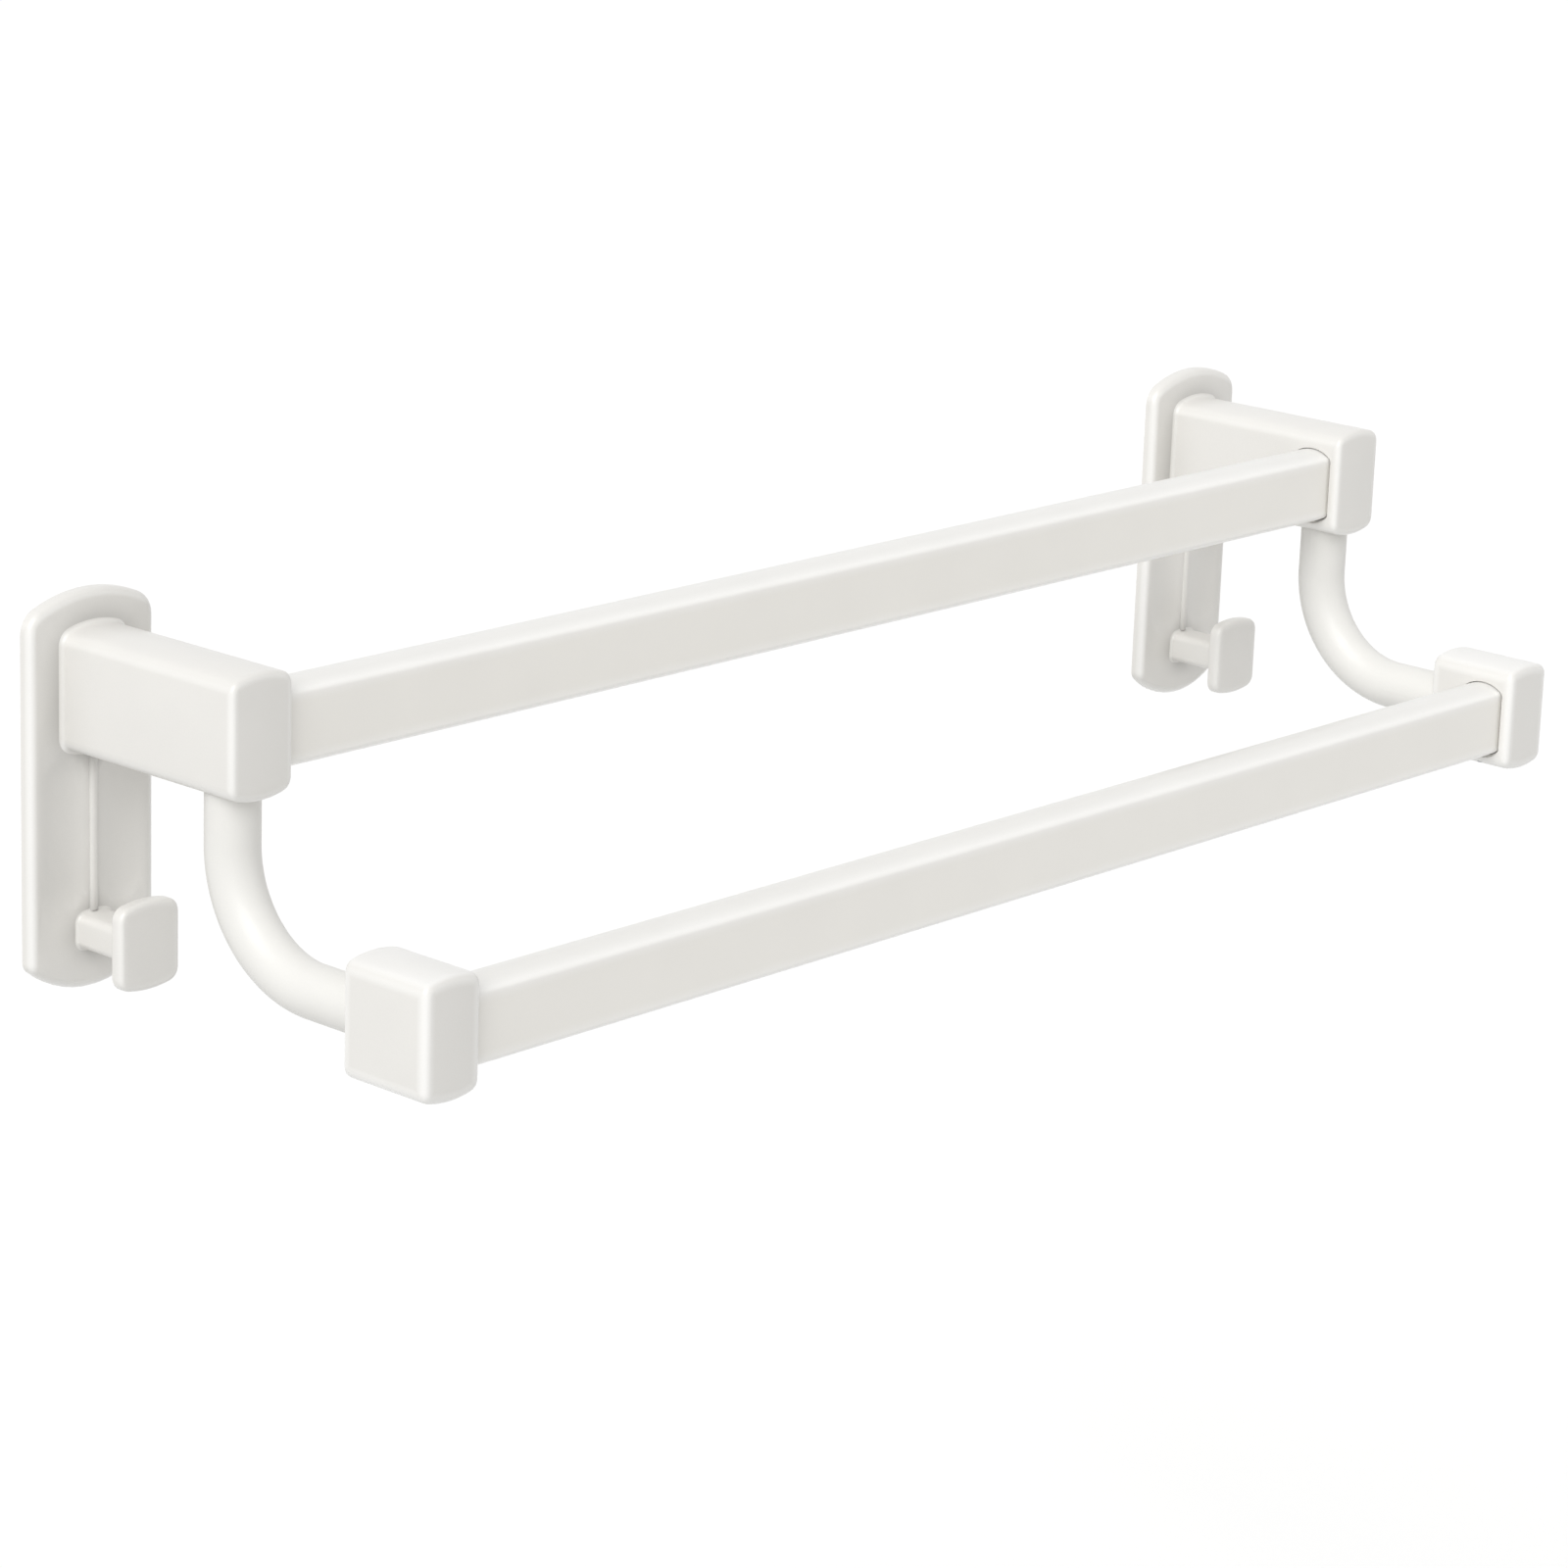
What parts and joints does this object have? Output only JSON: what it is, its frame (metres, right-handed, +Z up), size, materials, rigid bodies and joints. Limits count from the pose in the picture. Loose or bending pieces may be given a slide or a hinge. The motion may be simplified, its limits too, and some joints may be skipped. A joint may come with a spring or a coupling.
{
  "type": "double towel rail",
  "caption": "Wall-mounted double towel rail: crowned wall plates with arms, flat rails on two levels, bent drop tubes, end blocks and robe hooks.",
  "frame": {"origin": "middle of the four wall screw holes, in the plane of the wall", "axes": "+X along the rails, to the right for someone facing the wall; +Y into the wall, so the room is at -Y; +Z up"},
  "size_m": [0.6546, 0.181, 0.14],
  "materials": {
    "white_moulding": "satin",
    "white_metal": "satin",
    "plug_plastic": "matte",
    "bracket_steel": "zinc plated",
    "screw_steel": "zinc plated"
  },
  "bodies": {
    "root": {"left_wall_bracket": "bracket_steel", "left_wall_plate": "white_moulding", "left_clamp_screw": "screw_steel", "left_arm": "white_moulding", "left_arm_screws": "screw_steel", "left_hook": "white_moulding", "left_hook_screw": "screw_steel", "left_drop_tube": "white_metal", "left_neck_screw": "screw_steel", "left_lower_block": "white_moulding", "left_tube_screw": "screw_steel", "left_rail_screw": "screw_steel", "right_wall_bracket": "bracket_steel", "right_wall_plate": "white_moulding", "right_clamp_screw": "screw_steel", "right_arm": "white_moulding", "right_arm_screws": "screw_steel", "right_hook": "white_moulding", "right_hook_screw": "screw_steel", "right_drop_tube": "white_metal", "right_neck_screw": "screw_steel", "right_lower_block": "white_moulding", "right_tube_screw": "screw_steel", "right_rail_screw": "screw_steel", "upper_rail": "white_metal", "lower_rail": "white_metal", "upper_left_plug": "plug_plastic", "upper_right_plug": "plug_plastic", "lower_left_plug": "plug_plastic", "lower_right_plug": "plug_plastic"}
  },
  "joints": []
}
